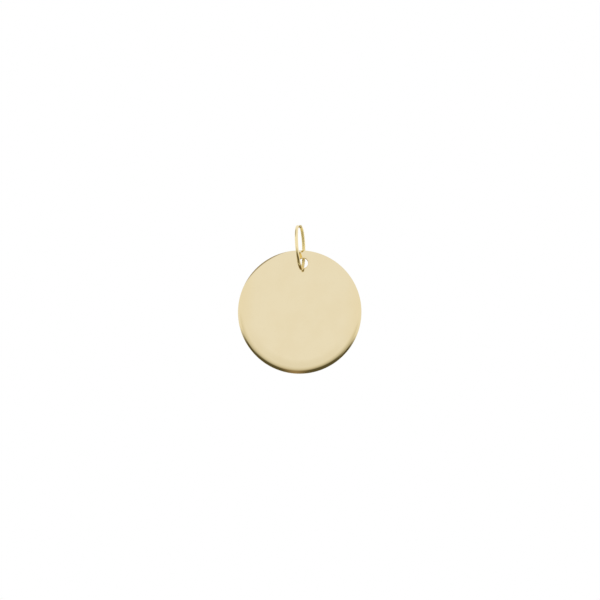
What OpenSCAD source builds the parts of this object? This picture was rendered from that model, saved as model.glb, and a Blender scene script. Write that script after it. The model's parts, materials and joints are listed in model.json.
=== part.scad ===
// A round medallion pendant: a plain polished disc with one small hole near its edge,
// hanging on a cut jump ring of round wire. Millimetres, +Z up, and the disc's face looks along -Y.
// The origin is the top of the ring's inside, midway between its cut ends, where a chain passes.

/* [Disc] */
// Diameter of the disc
disc_d = 16; // [14:0.5:20]
// Thickness of the disc
disc_t = 0.5; // [0.45:0.01:0.55]
// Radius of the polished shoulder, where the flat face starts to roll over
shoulder_r = 1; // [0.8:0.1:1.6]
// Radius of the rounded rim
rim_r = 0.15; // [0.1:0.01:0.2]

/* [Hole] */
// Diameter of the hole that the ring passes through
hole_d = 1.25; // [1.2:0.01:1.5]
// Metal between the hole and the disc's edge
hole_edge = 1.05; // [0.9:0.05:1.2]
// Width of the broken edge round each mouth of the hole
hole_bevel = 0.08; // [0.05:0.01:0.12]

/* [Jump ring] */
// Thickness of the round wire
wire_d = 0.4; // [0.3:0.01:0.42]
// Diameter inside the ring
ring_inner_d = 5.1; // [5:0.1:7]
// How far up the ring's rear side the disc sits, in degrees from the ring's lowest point
seat_angle = 45; // [38:1:46]
// Sideways lean of the ring, its top to the left, in degrees
ring_lean = 7.1; // [0:0.1:8]
// Turn of the ring about its upright axis, its front limb to the left, in degrees
ring_turn = 4.6; // [0:0.1:8]
// How far the ring's halves lean apart from its lowest point, the front one to the left, in degrees
ring_spread = 3.2; // [0:0.1:4]
// Gap that the saw left between the ring's ends
saw_cut = 0.1; // [0.05:0.01:0.2]
// How far the middle of the hole lies above the middle of the wire, so the bent wire runs clear
hole_lift = 0.08; // [0.04:0.01:0.12]

/* [Hidden] */
$fn = 96;
// A cut reaches this far past the faces that it opens
past = 0.01;

// The rim's section is a flat web, then on each face a shoulder arc that is tangent to the face
// and to the round rim. The arcs' centres stand over the end of the flat face.
rim_centre = disc_d / 2 - rim_r;
shoulder_run = sqrt(shoulder_r * (disc_t - 2 * rim_r) - (disc_t * disc_t / 4 - rim_r * rim_r));
flat_r = rim_centre - shoulder_run;
shoulder_drop = shoulder_r - disc_t / 2;
tangent_r = flat_r + shoulder_run * shoulder_r / (shoulder_r - rim_r);
// The shoulders' piece reaches this far back into the web, inside which it is joined
section_lap = disc_t / 4;

// The ring's halves bend up, to the rear and to the front, from the foot, its lowest point
ring_r = (ring_inner_d + wire_d) / 2;
rear_lean = ring_lean - ring_spread / 2;
front_lean = ring_lean + ring_spread / 2;
ring_back = [sin(ring_turn), cos(ring_turn), 0];
function ring_up(lean) = [-sin(lean) * cos(ring_turn), sin(lean) * sin(ring_turn), cos(lean)];
ring_foot = -(ring_inner_d + wire_d / 2) * (ring_up(rear_lean) + ring_up(front_lean)) / 2;

// The disc hangs plumb, with its hole round the rear half's wire at the seat angle
seat_rise = (1 - cos(seat_angle)) * ring_up(rear_lean);
wire_seat = ring_foot + ring_r * (sin(seat_angle) * ring_back + seat_rise);
hole_centre = wire_seat + [0, 0, hole_lift];
hole_offset = disc_d / 2 - hole_edge - hole_d / 2;
disc_centre = hole_centre - [0, 0, hole_offset];

// Half of the disc's section, from its axis out to the rim: the web, the shoulders and the rim
module disc_section() {
    translate([0, -disc_t / 2])
        square([flat_r, disc_t]);
    intersection() {
        translate([flat_r, -shoulder_drop])
            circle(r = shoulder_r);
        translate([flat_r, shoulder_drop])
            circle(r = shoulder_r);
        translate([flat_r - section_lap, -disc_t])
            square([tangent_r - flat_r + section_lap, 2 * disc_t]);
    }
    intersection() {
        translate([rim_centre, 0])
            circle(r = rim_r);
        translate([rim_centre, -disc_t])
            square([disc_t, 2 * disc_t]);
    }
}

// The hole runs along Y, and both of its mouths have a broken edge
module hole_cut() {
    rotate([90, 0, 0]) {
        cylinder(d = hole_d, h = disc_t + 2 * past, center = true);
        for (side = [0, 180])
            rotate([side, 0, 0])
                translate([0, 0, disc_t / 2 - hole_bevel])
                    cylinder(
                        h = hole_bevel + past,
                        r1 = hole_d / 2,
                        r2 = hole_d / 2 + hole_bevel + past
                    );
    }
}

module disc() {
    color("#E2CE9B")
        difference() {
            translate(disc_centre)
                rotate([90, 0, 0])
                    rotate_extrude()
                        disc_section();
            translate(hole_centre)
                hole_cut();
        }
}

// Half of a round of wire, from the foot at the origin up the rear side to the cut at the top
module half_ring() {
    cut_angle = asin(saw_cut / 2 / ring_r);
    translate([0, 0, ring_r])
        rotate([0, 90, 0])
            rotate_extrude(angle = 180 - cut_angle)
                translate([ring_r, 0])
                    circle(d = wire_d);
}

module jump_ring() {
    color("#D8C088")
        translate(ring_foot)
            rotate([0, 0, -ring_turn]) {
                rotate([0, -rear_lean, 0])
                    half_ring();
                rotate([0, -front_lean, 0])
                    rotate([0, 0, 180])
                        half_ring();
            }
}

disc();
jump_ring();
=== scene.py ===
import json
import math

import bmesh
import bpy
from mathutils import Matrix, Vector


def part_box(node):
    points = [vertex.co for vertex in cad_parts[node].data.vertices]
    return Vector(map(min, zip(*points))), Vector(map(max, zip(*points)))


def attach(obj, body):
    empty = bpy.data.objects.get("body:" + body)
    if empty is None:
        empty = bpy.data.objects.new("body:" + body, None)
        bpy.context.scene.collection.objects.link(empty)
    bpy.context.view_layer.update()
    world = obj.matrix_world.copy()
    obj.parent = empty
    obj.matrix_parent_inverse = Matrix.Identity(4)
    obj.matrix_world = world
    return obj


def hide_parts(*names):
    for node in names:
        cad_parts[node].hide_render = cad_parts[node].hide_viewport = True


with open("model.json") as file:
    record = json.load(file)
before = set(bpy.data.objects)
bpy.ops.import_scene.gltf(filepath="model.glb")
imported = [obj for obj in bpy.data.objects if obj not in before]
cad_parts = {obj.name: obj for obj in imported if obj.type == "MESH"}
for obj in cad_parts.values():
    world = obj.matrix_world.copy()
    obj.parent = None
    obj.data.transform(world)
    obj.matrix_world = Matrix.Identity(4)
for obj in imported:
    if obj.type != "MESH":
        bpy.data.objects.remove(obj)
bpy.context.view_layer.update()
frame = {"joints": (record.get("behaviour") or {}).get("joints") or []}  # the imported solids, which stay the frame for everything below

# The pendant's sizes, in metres
MM = 0.001
DISC_THICKNESS = 0.5 * MM
HOLE_RADIUS = 0.625 * MM
HOLE_OFFSET = 6.325 * MM  # from the disc's centre up to the hole's
LIP_RADIUS = 0.09 * MM  # of the burnished edge round each mouth of the hole
LIP_MARGIN = 0.03 * MM  # of flat metal round the lip, before the open face begins
ROLL_WIDTH = 0.9 * MM  # over which the polished face rolls over into the rim
ROLL_START = 3.0  # how late in that width the face turns down
ROLL_END = 1.15  # how blunt the edge is: 1 is a knife's, 2 is fully round
WIRE_RADIUS = 0.2 * MM
RING_LEAN = math.radians(7.1)  # its top to the left
RING_TURN = math.radians(4.6)  # its front to the left
RING_SPREAD = math.radians(3.2)  # between the ring's two halves, which lean apart from its foot
SAW_CUT = 0.1 * MM  # between the ring's ends
END_EDGE = 0.03 * MM  # of the broken edge round each cut end

# Facets, fine enough that a mirror finish shows none of them
RIM_FACETS = 384
ROLL_STEPS = 22
ROLL_CROWDING = 1.6  # how closely the steps crowd where the roll begins: 1 spaces them evenly
LIP_FACETS = 128
LIP_STEPS = 7
HALF_RING_FACETS = 144
WIRE_FACETS = 48
CLOSE = 1e-5 * MM  # points that are nearer than this are one

# The photograph's view of the disc: a square frame, seen from a little below and to the right
FRAME_PIXELS = 600
DISC_PIXELS = 123.7  # how wide the disc is in it
DISC_AT = (299.65, 312.0)  # where the disc's middle is in it, in pixels right and down
VIEW_AZIMUTH = math.radians(3.5)
VIEW_ELEVATION = math.radians(-3.5)
VIEW_ROLL = math.radians(4.23)
VIEW_DISTANCE = 0.5
SENSOR_MM = 36

# The studio, in metres from the chain's seat
FLOOR_DROP = 0.12
FLOOR_RADIUS = 1.1
FLOOR_FACETS = 96
SOFTBOX_WIDTH = 0.5
SOFTBOXES = (  # the name, place and watts of each
    ("softbox_left", (-0.45, -0.35, 0.5), 6),
    ("softbox_right", (0.5, -0.15, 0.45), 4),
)

# Places that the frame gives
hole = Vector(frame["joints"][0]["pos_m"])
disc_centre = hole - Vector((0, 0, HOLE_OFFSET))
disc_low, disc_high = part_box("disc")
disc_radius = min(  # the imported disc's least reach, so that the fine one stays inside its box
    disc_high.x - disc_centre.x, disc_centre.x - disc_low.x,
    disc_high.z - disc_centre.z, disc_centre.z - disc_low.z,
)
FRONT = Vector((0, -1, 0))
ring_turned = Matrix.Rotation(-RING_TURN, 3, "Z")
ring_back = ring_turned @ Vector((0, 1, 0))
rear_half = ring_turned @ Matrix.Rotation(RING_SPREAD / 2 - RING_LEAN, 3, "Y")
front_half = ring_turned @ Matrix.Rotation(-RING_SPREAD / 2 - RING_LEAN, 3, "Y")
rear_up = rear_half @ Vector((0, 0, 1))
front_up = front_half @ Vector((0, 0, 1))
# The ring's radius and its foot, its lowest point, are those of the middle of its wire
ring_low, ring_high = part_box("jump_ring")
ring_radius = ((ring_high.y - ring_low.y) / 2 - WIRE_RADIUS) / math.cos(RING_TURN)
ring_foot = (rear_up + front_up) * (WIRE_RADIUS / 2 - ring_radius)


# Hand work on meshes

def start_fresh():
    """Leaves edit mode and deselects everything: an operator acts on all that is selected."""
    if bpy.context.object and bpy.context.object.mode != "OBJECT":
        bpy.ops.object.mode_set(mode="OBJECT")
    bpy.ops.object.select_all(action="DESELECT")


def add_loop(facets, radius, place, facing):
    """A bare loop of edges round the direction it faces."""
    bpy.ops.mesh.primitive_circle_add(
        vertices=facets, radius=radius, location=place,
        rotation=facing.to_track_quat("Z", "Y").to_euler(),
    )


def start_piece(name, facets, radius, place, facing):
    """A new piece that is one loop, with its place in its mesh, selected and open in edit mode."""
    start_fresh()
    add_loop(facets, radius, place, facing)
    piece = bpy.context.object
    piece.name = name
    piece.data.name = name
    bpy.ops.object.transform_apply(location=True, rotation=True, scale=True)
    bpy.ops.object.mode_set(mode="EDIT")
    bpy.ops.mesh.select_mode(type="EDGE")
    bpy.ops.mesh.select_all(action="SELECT")
    return piece


def pick_edges(wanted):
    """Selects the edges whose two ends both pass the test."""
    bpy.ops.mesh.select_all(action="DESELECT")
    piece = bpy.context.edit_object
    mesh = bmesh.from_edit_mesh(piece.data)
    for edge in mesh.edges:
        edge.select_set(all(wanted(end.co) for end in edge.verts))
    bmesh.update_edit_mesh(piece.data)


def pull_loop(middle, steps):
    """Extrudes the selected loop along Y from step to step, each a radius and a place on Y."""
    for (radius, place), (next_radius, next_place) in zip(steps, steps[1:]):
        bpy.ops.mesh.extrude_region_move(
            TRANSFORM_OT_translate={"value": (0, next_place - place, 0)}
        )
        growth = next_radius / radius
        bpy.ops.transform.resize(value=(growth, 1, growth), center_override=middle)


def close_up(piece):
    """Merges what meets, turns every face outwards, smooths the shading and leaves edit mode."""
    bpy.ops.mesh.select_all(action="SELECT")
    bpy.ops.mesh.remove_doubles(threshold=CLOSE)
    bpy.ops.mesh.normals_make_consistent(inside=False)
    bpy.ops.object.mode_set(mode="OBJECT")
    bpy.ops.object.shade_smooth()
    return piece


def off_axis(middle, point):
    """How far a point is from the axis along Y through the middle."""
    return math.hypot(point.x - middle.x, point.z - middle.z)


# The disc: its front half is pulled out of two loops, then copied over to the back

def roll_steps(front):
    """Down the polished edge, from the flat face out to the rim's widest point."""
    flat_radius = disc_radius - ROLL_WIDTH
    steps = []
    for step in range(ROLL_STEPS + 1):
        angle = (step / ROLL_STEPS) ** ROLL_CROWDING * math.pi / 2
        radius = flat_radius + ROLL_WIDTH * math.sin(angle) ** (2 / ROLL_START)
        fall = 1 - math.cos(angle) ** (2 / ROLL_END)
        steps.append((radius, front + DISC_THICKNESS / 2 * fall))
    return steps


def lip_steps(front):
    """From the flat face over the hole's burnished lip, and on to the middle of the hole's wall."""
    steps = [(HOLE_RADIUS + LIP_RADIUS + LIP_MARGIN, front)]
    for step in range(LIP_STEPS + 1):
        angle = step / LIP_STEPS * math.pi / 2
        radius = HOLE_RADIUS + LIP_RADIUS * (1 - math.sin(angle))
        steps.append((radius, front + LIP_RADIUS * (1 - math.cos(angle))))
    steps.append((HOLE_RADIUS, front + DISC_THICKNESS / 2))
    return steps


def make_disc():
    front = disc_centre.y - DISC_THICKNESS / 2
    roll = roll_steps(front)
    lip = lip_steps(front)
    roll_start = roll[0][0]
    lip_start = lip[0][0]

    piece = start_piece(
        "gold_disc", RIM_FACETS, roll_start, (disc_centre.x, front, disc_centre.z), FRONT
    )
    pull_loop(disc_centre, roll)
    bpy.ops.mesh.select_all(action="DESELECT")
    add_loop(LIP_FACETS, lip_start, (hole.x, front, hole.z), FRONT)
    pull_loop(hole, lip)

    def on_face(point):
        on_roll = abs(off_axis(disc_centre, point) - roll_start) < CLOSE
        on_lip = abs(off_axis(hole, point) - lip_start) < CLOSE
        return abs(point.y - front) < CLOSE and (on_roll or on_lip)

    pick_edges(on_face)
    bpy.ops.mesh.fill(use_beauty=True)
    bpy.ops.mesh.select_all(action="SELECT")
    bpy.ops.mesh.duplicate()
    bpy.ops.transform.resize(value=(1, -1, 1), center_override=disc_centre)
    return close_up(piece)


# The jump ring: a round of wire at its foot, spun up each side to the cut at the top

def spin_half(half, way):
    """Bends wire from the foot's loop up to its cut end, 1 to the rear and -1 to the front."""
    pick_edges(lambda point: abs((point - ring_foot).dot(ring_back)) < CLOSE)
    reach = math.pi - math.asin(SAW_CUT / 2 / ring_radius)
    centre = ring_foot + half @ Vector((0, 0, ring_radius))
    side = half @ Vector((1, 0, 0))
    # Spin turns the opposite way to Matrix.Rotation
    bpy.ops.mesh.spin(
        steps=HALF_RING_FACETS, angle=way * (END_EDGE / ring_radius - reach),
        center=centre, axis=side,
    )
    turned = Matrix.Rotation(way * reach, 3, side)
    end = centre + turned @ (ring_foot - centre)
    along = turned @ ring_back * way
    bpy.ops.mesh.extrude_region_move(TRANSFORM_OT_translate={"value": along * END_EDGE})
    narrowed = 1 - END_EDGE / WIRE_RADIUS
    bpy.ops.transform.resize(value=(narrowed, narrowed, narrowed), center_override=end)
    bpy.ops.mesh.edge_face_add()


def make_ring():
    piece = start_piece("gold_jump_ring", WIRE_FACETS, WIRE_RADIUS, ring_foot, ring_back)
    spin_half(rear_half, 1)
    spin_half(front_half, -1)
    return close_up(piece)


# Shader maths

class Value:
    """A shader socket that Python's operators work on, each adding a Math or Vector Math node."""

    def __init__(self, tree, socket=None):
        self.tree = tree
        self.socket = socket

    def node(self, kind, settings=None, inputs=None, output=0):
        """Adds any node: its settings come first, then the values or links of its sockets."""
        made = self.tree.nodes.new(kind)
        for name, setting in (settings or {}).items():
            setattr(made, name, setting)
        for name, value in (inputs or {}).items():
            if isinstance(value, Value):
                self.tree.links.new(value.socket, made.inputs[name])
            else:
                made.inputs[name].default_value = value
        return Value(self.tree, made.outputs[output] if made.outputs else None)

    def maths(self, operation, *values):
        return self.node("ShaderNodeMath", {"operation": operation}, dict(enumerate(values)))

    def __add__(self, other):
        return self.maths("ADD", self, other)

    def __radd__(self, other):
        return self.maths("ADD", other, self)

    def __sub__(self, other):
        return self.maths("SUBTRACT", self, other)

    def __rsub__(self, other):
        return self.maths("SUBTRACT", other, self)

    def __mul__(self, other):
        return self.maths("MULTIPLY", self, other)

    def __rmul__(self, other):
        return self.maths("MULTIPLY", other, self)

    def __truediv__(self, other):
        return self.maths("DIVIDE", self, other)

    def rise(self, low, high):
        """From 0 at the first value to 1 at the second, in a smooth S."""
        return self.node(
            "ShaderNodeMapRange", {"interpolation_type": "SMOOTHSTEP"},
            {"Value": self, "From Min": low, "From Max": high},
        )

    def vector_maths(self, operation, *values, output=0):
        inputs = dict(enumerate(values))
        return self.node("ShaderNodeVectorMath", {"operation": operation}, inputs, output)

    def along(self, direction):
        """How far a vector reaches in a direction."""
        return self.vector_maths("DOT_PRODUCT", self, direction, output="Value")

    def size(self):
        """How long a vector is."""
        return self.vector_maths("LENGTH", self, output="Value")

    def vector(self, x, y, z):
        return self.node("ShaderNodeCombineXYZ", None, {"X": x, "Y": y, "Z": z})

    def noise(self, place, detail, scale=1.0):
        return self.node(
            "ShaderNodeTexNoise", None, {"Vector": place, "Scale": scale, "Detail": detail}
        )

    def blend(self, low, high):
        """A colour that goes from the first to the second as this goes from 0 to 1."""
        # A Mix node's sockets share their names, so its colours go by number: 6 and 7 in, 2 out
        colours = {"Factor": self, 6: low, 7: high}
        return self.node("ShaderNodeMix", {"data_type": "RGBA"}, colours, output=2)


def colour(red, green, blue):
    return (red, green, blue, 1.0)


def new_material(name):
    """A material with no nodes yet, and the value that its nodes are added through."""
    material = bpy.data.materials.new(name)
    material.use_nodes = True
    material.node_tree.nodes.clear()
    return material, Value(material.node_tree)


def millimetres_from(shader, middle):
    """Where a point of the piece lies from the middle, in millimetres."""
    place = shader.node("ShaderNodeTexCoord", output="Object")
    offset = shader.vector_maths("SUBTRACT", place, middle)
    return shader.vector_maths("DIVIDE", offset, (MM, MM, MM))


def finish_metal(material, shader, base, roughness, height):
    """Ties a metal's colour, roughness and relief, which is in millimetres, to its surface."""
    bumps = {"Height": height, "Strength": 1.0, "Distance": MM}
    relief = shader.node("ShaderNodeBump", None, bumps, output="Normal")
    surface = shader.node(
        "ShaderNodeBsdfPrincipled", None,
        {"Base Color": base, "Metallic": 1.0, "Roughness": roughness, "Normal": relief},
    )
    shader.node("ShaderNodeOutputMaterial", None, {"Surface": surface})
    return material


# The gold of the disc: a mirror with a breath of haze, hairlines, a rub round the hole, and a
# painted reflection that makes it deeper towards its left and right edges. Its sizes are in
# millimetres, and each pair is where a change begins and where it is complete.
PLATE_GOLD = colour(0.852, 0.738, 0.492)
HAZED_GOLD = colour(0.842, 0.722, 0.472)
SIDE_PAINTED_REFLECTION = colour(0.835, 0.695, 0.415)
RUBBED_GOLD = colour(0.83, 0.69, 0.43)
PAINTED_REFLECTION_SIDES = (5.4, 7.6)  # from the middle to the left and right, where a painted reflection makes the gold deeper
PAINTED_REFLECTION_STRENGTH = 0.6
RUB = (0.7, 1.15)  # from the hole's middle
RUB_STRENGTH = 0.35
HAZE_SCALE = 0.35
HAZE = (0.35, 0.7)  # of the noise, on both pieces
WAVE_SCALE = 0.4
WAVE_DEPTH = 0.0012  # of the long soft waves that polishing leaves
HAIRLINE_SETS = (  # how each is turned, how many there are to a millimetre, and how long they are
    (0.35, 40.0, 1.6),
    (1.25, 46.0, 2.4),
    (2.1, 46.0, 1.1),
    (2.9, 46.0, 3.0),
)
HAIRLINES = (0.7, 0.76)  # of the noise
HAIRLINE_DEPTH = 0.00015
BUFFED = (6.1, 7.9)  # from the middle, where buffing softens the face towards its edge
BUFFED_FALL = 0.05  # how far the face falls away there
EDGE = (7.6, 7.95)  # from the middle, where the edge is polished over again, and more steeply
EDGE_FALL = 0.035
PLATE_ROUGHNESS = 0.03
HAZE_ROUGHNESS = 0.012
HAIRLINE_ROUGHNESS = 0.05
RUB_ROUGHNESS = 0.03


def hairlines(shader, place, turn, fineness, length):
    """Fine straight scratches across the disc, all of one direction. 1 on a scratch, 0 off it."""
    across = place.along((math.cos(turn), 0, math.sin(turn)))
    lengthways = place.along((-math.sin(turn), 0, math.cos(turn)))
    stretched = shader.vector(across * fineness, place.along((0, 1, 0)), lengthways / length)
    return shader.noise(stretched, detail=1.0).rise(*HAIRLINES)


def polished_plate():
    material, shader = new_material("polished_gold_plate")
    place = millimetres_from(shader, disc_centre)
    sideways = place.along((1, 0, 0))
    from_middle = shader.vector(sideways, place.along((0, 0, 1)), 0.0).size()
    lines = hairlines(shader, place, *HAIRLINE_SETS[0])
    for one_set in HAIRLINE_SETS[1:]:
        lines = shader.maths("MAXIMUM", lines, hairlines(shader, place, *one_set))
    haze = shader.noise(place, detail=3.0, scale=HAZE_SCALE).rise(*HAZE)
    waves = shader.noise(place, detail=0.0, scale=WAVE_SCALE)
    rubbed = 1 - millimetres_from(shader, hole).size().rise(*RUB)
    painted_side_reflection = shader.maths("ABSOLUTE", sideways).rise(*PAINTED_REFLECTION_SIDES)

    tone = haze.blend(PLATE_GOLD, HAZED_GOLD)
    # Painted reflection: the gold deepens towards the left and right edges, standing in for a
    # warmer room reflected there
    tone = (painted_side_reflection * PAINTED_REFLECTION_STRENGTH).blend(tone, SIDE_PAINTED_REFLECTION)
    tone = (rubbed * RUB_STRENGTH).blend(tone, RUBBED_GOLD)
    roughness = (
        PLATE_ROUGHNESS + haze * HAZE_ROUGHNESS
        + lines * HAIRLINE_ROUGHNESS + rubbed * RUB_ROUGHNESS
    )
    falls = from_middle.rise(*BUFFED) * BUFFED_FALL + from_middle.rise(*EDGE) * EDGE_FALL
    height = waves * WAVE_DEPTH - lines * HAIRLINE_DEPTH - falls
    return finish_metal(material, shader, tone, roughness, height)


# The gold of the wire: bright outside with drawing lines along it, unbuffed inside and painted a
# deeper yellow there as a painted reflection of the gold it faces, rubbed dull behind, where the
# disc slides, and painted paler there as painted light, and with the saw's marks across its two
# ends, which are painted darker as painted shade.
# Its sizes are in millimetres too.
WIRE_GOLD = colour(0.91, 0.77, 0.45)
HAZED_WIRE_GOLD = colour(0.895, 0.745, 0.42)
# Painted reflection: the deeper yellow of the wire's inside
INSIDE_PAINTED_REFLECTION = colour(0.98, 0.79, 0.33)
# Painted light: the paler gold of the wire's rear
REAR_PAINTED_LIGHT = colour(0.96, 0.84, 0.46)
# Painted shade: the darker gold of the sawn ends
SAWN_PAINTED_SHADE = colour(0.66, 0.54, 0.28)
HALVES_MEET = (-0.02, 0.02)  # from the ring's middle to the rear
REAR = (0.4, 1.8)  # from the ring's middle to the rear
INSIDE = (2.66, 2.78)  # from the ring's centre
RING_TOP = (4.6, 5.0)  # above the ring's foot
SAWN = (SAW_CUT / MM / 2 + 0.005, SAW_CUT / MM / 2 + 0.045)  # from the middle of the cut
TEETH_UP = 60.0  # the saw's marks to a millimetre, one above another
TEETH_ACROSS = 6.0  # and how many times in a millimetre each changes along its length
TEETH_DEPTH = 0.006
DRAWN_ACROSS = 30.0  # drawing lines to a millimetre
DRAWN_ALONG = 0.8  # and to a radian round the ring
DRAWN = (0.45, 0.75)  # of the noise
DRAWN_DEPTH = 0.0006
WIRE_HAZE_SCALE = 1.2
WIRE_ROUGHNESS = 0.045
DRAWN_ROUGHNESS = 0.05
WIRE_HAZE_ROUGHNESS = 0.02
SAWN_ROUGHNESS = 0.28
INSIDE_ROUGHNESS = 0.33
REAR_ROUGHNESS = 0.65


def drawn_wire():
    material, shader = new_material("drawn_gold_wire")
    place = millimetres_from(shader, ring_foot)
    out = place.along(ring_turned @ Vector((1, 0, 0)))
    back = place.along(ring_back)
    up = place.along((0, 0, 1))
    above_centre = up - ring_radius / MM
    from_centre = shader.vector(back, above_centre, 0.0).size()
    round_ring = shader.maths("ARCTAN2", back, above_centre)
    which_half = back.rise(*HALVES_MEET) * 2 - 1  # 1 on the rear half, -1 on the front half
    lean = math.tan(RING_LEAN) - which_half * math.tan(RING_SPREAD / 2)
    beside_wire = out + up * lean

    swept = shader.vector(
        beside_wire * DRAWN_ACROSS, from_centre * DRAWN_ACROSS, round_ring * DRAWN_ALONG
    )
    lines = shader.noise(swept, detail=2.0).rise(*DRAWN)
    haze = shader.noise(place, detail=2.0, scale=WIRE_HAZE_SCALE).rise(*HAZE)
    # The sawn ends: their roughness and saw marks are real, their darker colour is painted shade
    sawn_end_and_painted_shade = up.rise(*RING_TOP) * (1 - shader.maths("ABSOLUTE", back).rise(*SAWN))
    sawing = shader.vector(out * TEETH_ACROSS, back * TEETH_ACROSS, up * TEETH_UP)
    teeth = shader.noise(sawing, detail=2.0)
    # The rear: rubbed dull, and painted paler as painted light
    rear = back.rise(*REAR)
    # The inside: unbuffed, and painted a deeper yellow as a painted reflection of the gold it faces
    inside = (1 - from_centre.rise(*INSIDE)) * (1 - rear) * (1 - sawn_end_and_painted_shade)

    tone = haze.blend(WIRE_GOLD, HAZED_WIRE_GOLD)
    # Painted reflection: the inside is made a deeper yellow
    tone = inside.blend(tone, INSIDE_PAINTED_REFLECTION)
    # Painted light: the rear is made paler; its dull roughness is real wear
    tone = rear.blend(tone, REAR_PAINTED_LIGHT)
    # Painted shade: the sawn ends are made darker
    tone = sawn_end_and_painted_shade.blend(tone, SAWN_PAINTED_SHADE)
    roughness = (
        WIRE_ROUGHNESS + lines * DRAWN_ROUGHNESS + haze * WIRE_HAZE_ROUGHNESS
        + inside * INSIDE_ROUGHNESS + rear * REAR_ROUGHNESS + sawn_end_and_painted_shade * SAWN_ROUGHNESS
    )
    height = sawn_end_and_painted_shade * teeth * TEETH_DEPTH - lines * DRAWN_DEPTH
    return finish_metal(material, shader, tone, roughness, height)


# The room that the gold reflects: white walls, a dark ground on the camera's side, which draws the
# dark line round the disc's lower edge, and a dark curtain high on the left, which lines its upper
# left edge and the ring's left side. A direction reaches from -1 to 1 up, forwards and to the
# right, and each pair is the reach at which a change begins and at which it is complete.
WHITE = colour(1.0, 1.0, 1.0)
WALLS = colour(0.957, 0.959, 0.965)
LOW_WALL = colour(0.84, 0.825, 0.755)
GROUND = colour(0.79, 0.76, 0.56)
DARK_GROUND = colour(0.11, 0.095, 0.045)
BELOW_CAMERA = colour(0.33, 0.245, 0.135)
CURTAIN = colour(0.40, 0.35, 0.25)
LOW_WALL_UP = (-0.12, 0.055)
LOW_WALL_FORWARD = (0.3, 0.8)
GROUND_UP = (-0.70, -0.05)
RIGHT_HALF = (-0.04, 0.08)
RIGHT_LIFT = 0.05  # how much higher the ground stands on the right
IN_FRONT = (0.66, 0.82)  # the forward reach of a direction's level part, as in the next two
BESIDE = (-0.25, 0.1)
BEHIND = (-0.6, -0.2)
BESIDE_UP = (-0.64, -0.33)
BEHIND_UP = (-0.85, -0.6)
BEHIND_STRENGTH = 0.8
FAR_SIDES = (0.66, 0.76)
FAR_SIDE_LIFT = 0.12  # how much higher the dark ground stands at the far left and right
BELOW_CAMERA_LEFT = 0.06  # how far to the left the browner ground below the camera lies
BELOW_CAMERA_REACH = 0.25  # to either side of its middle
CURTAIN_WAY = (-0.666, 0.14, 0.733)
CURTAIN_EDGE = (0.89, 0.955)
NEVER_ZERO = 0.001  # keeps a direction's level part from being nothing to divide by


def dark_ground(shader, up, right, facing, ground):
    """1 where the ground is dark: all of it in front, and less and less of it round to the rear."""
    in_front = facing.rise(*IN_FRONT) * ground
    lifted = up - shader.maths("ABSOLUTE", right).rise(*FAR_SIDES) * FAR_SIDE_LIFT
    beside = facing.rise(*BESIDE) * (1 - lifted.rise(*BESIDE_UP))
    behind = facing.rise(*BEHIND) * (1 - up.rise(*BEHIND_UP)) * BEHIND_STRENGTH
    return shader.maths("MAXIMUM", shader.maths("MAXIMUM", in_front, beside), behind)


def light_room():
    """Lights the pendant from the room. The camera itself sees plain white behind it."""
    world = bpy.data.worlds.new("white_studio")
    bpy.context.scene.world = world
    world.use_nodes = True
    world.node_tree.nodes.clear()
    shader = Value(world.node_tree)
    way = shader.node("ShaderNodeTexCoord", output="Generated")
    up = way.along((0, 0, 1))
    forward = way.along(FRONT)
    right = way.along((1, 0, 0))
    facing = forward / (shader.vector(right, forward, 0.0).size() + NEVER_ZERO)

    low_wall = (1 - up.rise(*LOW_WALL_UP)) * forward.rise(*LOW_WALL_FORWARD)
    room = low_wall.blend(WALLS, LOW_WALL)
    ground = 1 - (up - right.rise(*RIGHT_HALF) * RIGHT_LIFT).rise(*GROUND_UP)
    room = ground.blend(room, GROUND)
    aside = shader.maths("ABSOLUTE", right + BELOW_CAMERA_LEFT)
    dark = (1 - aside.rise(0.0, BELOW_CAMERA_REACH)).blend(DARK_GROUND, BELOW_CAMERA)
    room = dark_ground(shader, up, right, facing, ground).blend(room, dark)
    room = way.along(CURTAIN_WAY).rise(*CURTAIN_EDGE).blend(room, CURTAIN)

    seen = shader.node("ShaderNodeLightPath", output="Is Camera Ray")
    room = seen.blend(room, WHITE)
    light = shader.node("ShaderNodeBackground", None, {"Color": room, "Strength": 1.0})
    shader.node("ShaderNodeOutputWorld", None, {"Surface": light})


# The floor: pale paper, which fades into the white round it
PAPER = colour(0.86, 0.86, 0.85)
PALE_PAPER = colour(0.89, 0.89, 0.88)
FIBRE_SCALE = 3.0
PAPER_FADE = (0.25 * FLOOR_RADIUS / MM, 0.8 * FLOOR_RADIUS / MM)


def pale_floor():
    material, shader = new_material("pale_floor_paper")
    place = millimetres_from(shader, (0, 0, 0))
    fibres = shader.noise(place, detail=4.0, scale=FIBRE_SCALE).blend(PAPER, PALE_PAPER)
    paper = shader.node("ShaderNodeBsdfDiffuse", None, {"Color": fibres})
    glow = shader.node("ShaderNodeEmission", None, {"Color": WHITE, "Strength": 1.0})
    faded = place.size().rise(*PAPER_FADE)
    surface = shader.node("ShaderNodeMixShader", None, {0: faded, 1: paper, 2: glow})
    shader.node("ShaderNodeOutputMaterial", None, {"Surface": surface})
    return material


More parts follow.
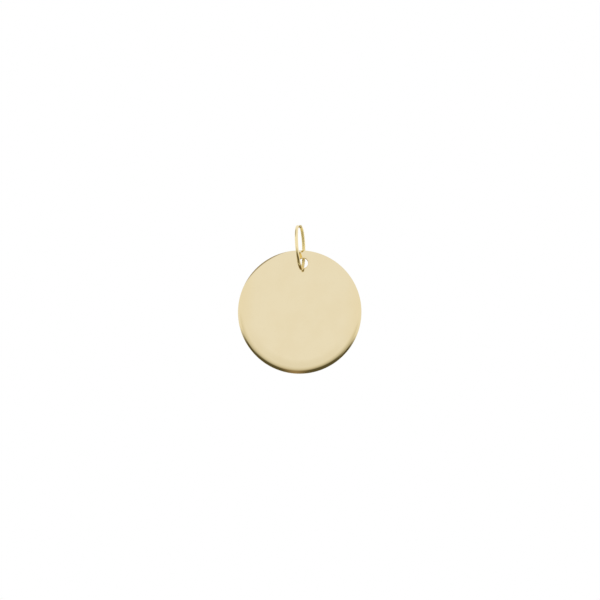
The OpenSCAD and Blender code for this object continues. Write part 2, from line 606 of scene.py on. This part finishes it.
def lay_floor():
    start_fresh()
    bpy.ops.mesh.primitive_circle_add(
        vertices=FLOOR_FACETS, radius=FLOOR_RADIUS, fill_type="NGON", location=(0, 0, -FLOOR_DROP)
    )
    floor = bpy.context.object
    floor.name = "studio_floor"
    bpy.ops.object.transform_apply(location=True, rotation=True, scale=True)
    floor.data.materials.append(pale_floor())
    floor.visible_glossy = False


# Lights and camera

def add_softbox(name, place, power):
    """A square soft light that faces the disc. The gold sees the room instead of it."""
    light = bpy.data.lights.new(name, "AREA")
    light.shape = "SQUARE"
    light.size = SOFTBOX_WIDTH
    light.energy = power
    softbox = bpy.data.objects.new(name, light)
    softbox.location = place
    softbox.rotation_euler = (disc_centre - Vector(place)).to_track_quat("-Z", "Y").to_euler()
    softbox.visible_glossy = False
    bpy.context.collection.objects.link(softbox)


def place_camera():
    """The camera looks at the disc from where the photograph was taken, with its framing."""
    aside = math.sin(VIEW_AZIMUTH) * math.cos(VIEW_ELEVATION)
    toward = math.cos(VIEW_AZIMUTH) * math.cos(VIEW_ELEVATION)
    back = Vector((aside, -toward, math.sin(VIEW_ELEVATION)))
    turned = back.to_track_quat("Z", "Y").to_matrix() @ Matrix.Rotation(VIEW_ROLL, 3, "Z")
    pixel = 2 * disc_radius / DISC_PIXELS
    right = (FRAME_PIXELS / 2 - DISC_AT[0]) * pixel
    up = (DISC_AT[1] - FRAME_PIXELS / 2) * pixel
    aim = disc_centre + turned @ Vector((right, up, 0))
    data = bpy.data.cameras.new("camera")
    data.sensor_width = SENSOR_MM
    data.lens = SENSOR_MM * VIEW_DISTANCE / (FRAME_PIXELS * pixel)
    camera = bpy.data.objects.new("camera", data)
    camera.matrix_world = Matrix.Translation(aim + back * VIEW_DISTANCE) @ turned.to_4x4()
    bpy.context.collection.objects.link(camera)
    bpy.context.scene.camera = camera
    bpy.context.scene.view_settings.view_transform = "Standard"


disc = make_disc()
disc.data.materials.append(polished_plate())
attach(disc, "medallion")
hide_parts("disc")

ring = make_ring()
ring.data.materials.append(drawn_wire())
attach(ring, "ring")
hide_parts("jump_ring")

light_room()
lay_floor()
for name, place, power in SOFTBOXES:
    add_softbox(name, place, power)
place_camera()
